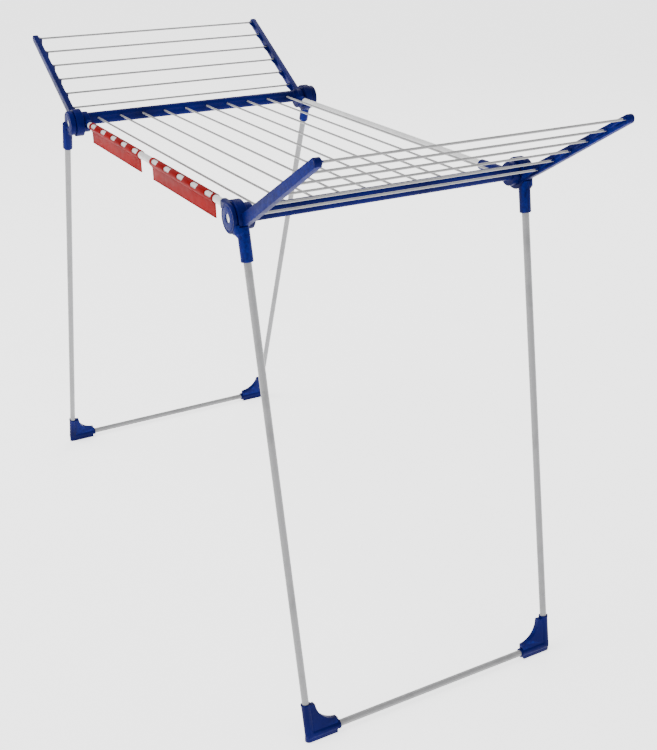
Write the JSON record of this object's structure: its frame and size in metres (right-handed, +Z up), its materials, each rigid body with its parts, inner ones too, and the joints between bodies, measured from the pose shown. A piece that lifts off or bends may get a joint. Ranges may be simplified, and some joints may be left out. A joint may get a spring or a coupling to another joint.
{
  "type": "clothes drying rack",
  "caption": "Folding clothes drying rack with a lengthwise rod frame, two raised fold-over wings, two folding leg frames and clip-on small item holders.",
  "frame": {"origin": "middle of the footprint box, on the floor", "axes": "+X along the rods towards the front end, +Y across towards the right side, +Z up; the small item holders are on the left, -Y"},
  "size_m": [1.7484, 0.727, 1.2898],
  "materials": {
    "tube_steel": "satin light grey coat",
    "rod_steel": "satin white coat",
    "screw_steel": "plated",
    "blue_plastic": "semi-gloss moulded",
    "red_plastic": "semi-gloss moulded"
  },
  "bodies": {
    "frame": {"side_tube_left": "tube_steel", "side_tube_right": "tube_steel", "end_bar_rear": "blue_plastic", "end_bar_front": "blue_plastic", "frame_rods": "rod_steel", "corner_bracket_rear_left": "blue_plastic", "corner_bracket_rear_right": "blue_plastic", "corner_bracket_front_left": "blue_plastic", "corner_bracket_front_right": "blue_plastic", "hinge_screws_rear": "screw_steel", "hinge_screws_front": "screw_steel"},
    "wing_rear": {"wing_rear_arm_left": "blue_plastic", "wing_rear_arm_right": "blue_plastic", "wing_rear_rods": "rod_steel", "wing_rear_tip_cap_left": "blue_plastic", "wing_rear_tip_cap_right": "blue_plastic"},
    "wing_front": {"wing_front_arm_left": "blue_plastic", "wing_front_arm_right": "blue_plastic", "wing_front_rods": "rod_steel", "wing_front_tip_cap_left": "blue_plastic", "wing_front_tip_cap_right": "blue_plastic"},
    "legs_rear": {"leg_rear_head_left": "blue_plastic", "leg_rear_head_right": "blue_plastic", "leg_rear_tube_left": "tube_steel", "leg_rear_tube_right": "tube_steel", "foot_tube_rear": "tube_steel", "foot_corner_rear_left": "blue_plastic", "foot_corner_rear_right": "blue_plastic"},
    "legs_front": {"leg_front_head_left": "blue_plastic", "leg_front_head_right": "blue_plastic", "leg_front_tube_left": "tube_steel", "leg_front_tube_right": "tube_steel", "foot_tube_front": "tube_steel", "foot_corner_front_left": "blue_plastic", "foot_corner_front_right": "blue_plastic"},
    "holder_rear": {"small_item_holder_rear": "red_plastic"},
    "holder_front": {"small_item_holder_front": "red_plastic"}
  },
  "joints": [
    {"name": "wing_rear_fold", "type": "hinge", "parent": "frame", "child": "wing_rear", "pos_m": [-0.43037, 0, 1.116], "axis": [0, 1, 0], "range_deg": [0, 148]},
    {"name": "wing_front_fold", "type": "hinge", "parent": "frame", "child": "wing_front", "pos_m": [0.55163, 0, 1.116], "axis": [0, -1, 0], "range_deg": [0, 148]},
    {"name": "legs_front_fold", "type": "hinge", "parent": "frame", "child": "legs_front", "pos_m": [0.55163, 0, 1.116], "axis": [0, 1, 0], "range_deg": [0, 100.5]},
    {"name": "legs_rear_fold", "type": "hinge", "parent": "frame", "child": "legs_rear", "pos_m": [-0.43037, 0, 1.116], "axis": [0, -1, 0], "range_deg": [0, 107.6]},
    {"name": "holder_rear_slide", "type": "slide", "parent": "frame", "child": "holder_rear", "axis": [1, 0, 0], "range_m": [-0.005, 0.02]},
    {"name": "holder_front_slide", "type": "slide", "parent": "frame", "child": "holder_front", "axis": [1, 0, 0], "range_m": [-0.02, 0.03]}
  ],
  "couplings": [
    {"joint": "legs_rear_fold", "follows": "legs_front_fold", "ratio": 1.07}
  ]
}
